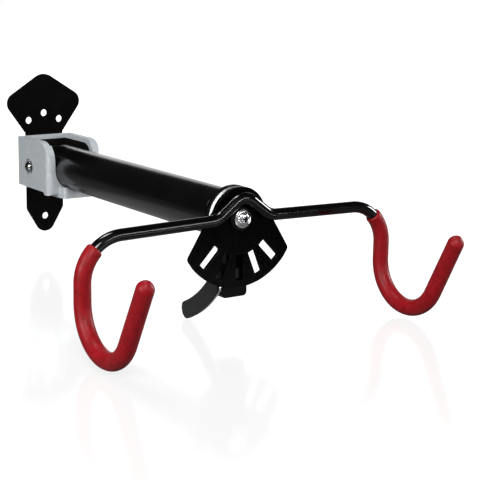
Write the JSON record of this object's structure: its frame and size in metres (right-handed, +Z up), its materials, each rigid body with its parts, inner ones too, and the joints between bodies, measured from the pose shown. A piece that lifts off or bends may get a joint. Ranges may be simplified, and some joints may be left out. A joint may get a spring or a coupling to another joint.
{
  "type": "bicycle wall rack",
  "caption": "Folding wall arm with a front hub that carries a tilting cradle of two sleeved hooks, locked by a lever-driven tooth in a slotted sector plate.",
  "frame": {"origin": "on the wall plane, at the height of the arm tube's axis and on the rack's centre plane", "axes": "+Z up, the arm points to -Y away from the wall, X across the rack"},
  "size_m": [0.3726, 0.5537, 0.2195],
  "materials": {
    "plate_black": "black powder coat",
    "bracket_grey": "satin silver-grey paint on a casting",
    "bright_steel": "bright plated",
    "zinc_steel": "zinc plated",
    "nylon_black": "black nylon",
    "acetal": "natural acetal",
    "tube_black": "gloss black paint",
    "hub_black": "glass-filled black nylon",
    "aluminium_ring": "turned and polished",
    "sector_black": "gloss black powder coat",
    "rod_black": "gloss black powder coat",
    "sleeve_red": "soft dipped vinyl",
    "lever_grey": "moulded plastic",
    "tooth_steel": "black oxide on steel"
  },
  "bodies": {
    "wall": {"wall_plate": "plate_black", "bracket_screws": "zinc_steel", "pivot_bracket": "bracket_grey", "bracket_liner": "nylon_black", "pivot_bolt": "bright_steel", "pivot_washer": "zinc_steel", "pivot_nut": "zinc_steel"},
    "arm": {"root_knuckle": "hub_black", "pivot_bushes": "acetal", "arm_tube": "tube_black", "root_rivets": "zinc_steel", "hub_plug": "hub_black", "hub_rivets": "zinc_steel", "wear_washer": "aluminium_ring", "hub_sleeve": "zinc_steel", "thrust_washer": "nylon_black", "disc_spring": "zinc_steel", "centre_bolt": "bright_steel", "centre_nut": "zinc_steel", "latch_cover": "nylon_black", "cover_screws": "zinc_steel"},
    "cradle": {"sector_plate": "sector_black", "sector_boss": "sector_black", "cradle_rod": "rod_black", "left_hook_sleeve": "sleeve_red", "right_hook_sleeve": "sleeve_red"},
    "lever": {"lever_shaft": "zinc_steel", "lever_core": "bright_steel", "lever_paddle": "lever_grey", "shaft_clip": "zinc_steel"},
    "tooth": {"latch_tooth": "tooth_steel"}
  },
  "joints": [
    {"name": "arm_fold", "type": "hinge", "parent": "wall", "child": "arm", "pos_m": [0, -0.0315, -0.002], "axis": [-1, 0, 0], "range_deg": [0, 80]},
    {"name": "cradle_tilt", "type": "hinge", "parent": "arm", "child": "cradle", "pos_m": [0, -0.4251, 0], "axis": [0, 1, 0], "range_deg": [-44, 44]},
    {"name": "lever_turn", "type": "hinge", "parent": "arm", "child": "lever", "pos_m": [0, -0.408, -0.0685], "axis": [1, 0, 0], "range_deg": [0, 24]},
    {"name": "tooth_slide", "type": "slide", "parent": "arm", "child": "tooth", "axis": [0, -1, 0], "range_m": [0, 0.0047]}
  ],
  "couplings": [
    {"joint": "tooth_slide", "follows": "lever_turn", "m_per_rad": 0.0112}
  ]
}
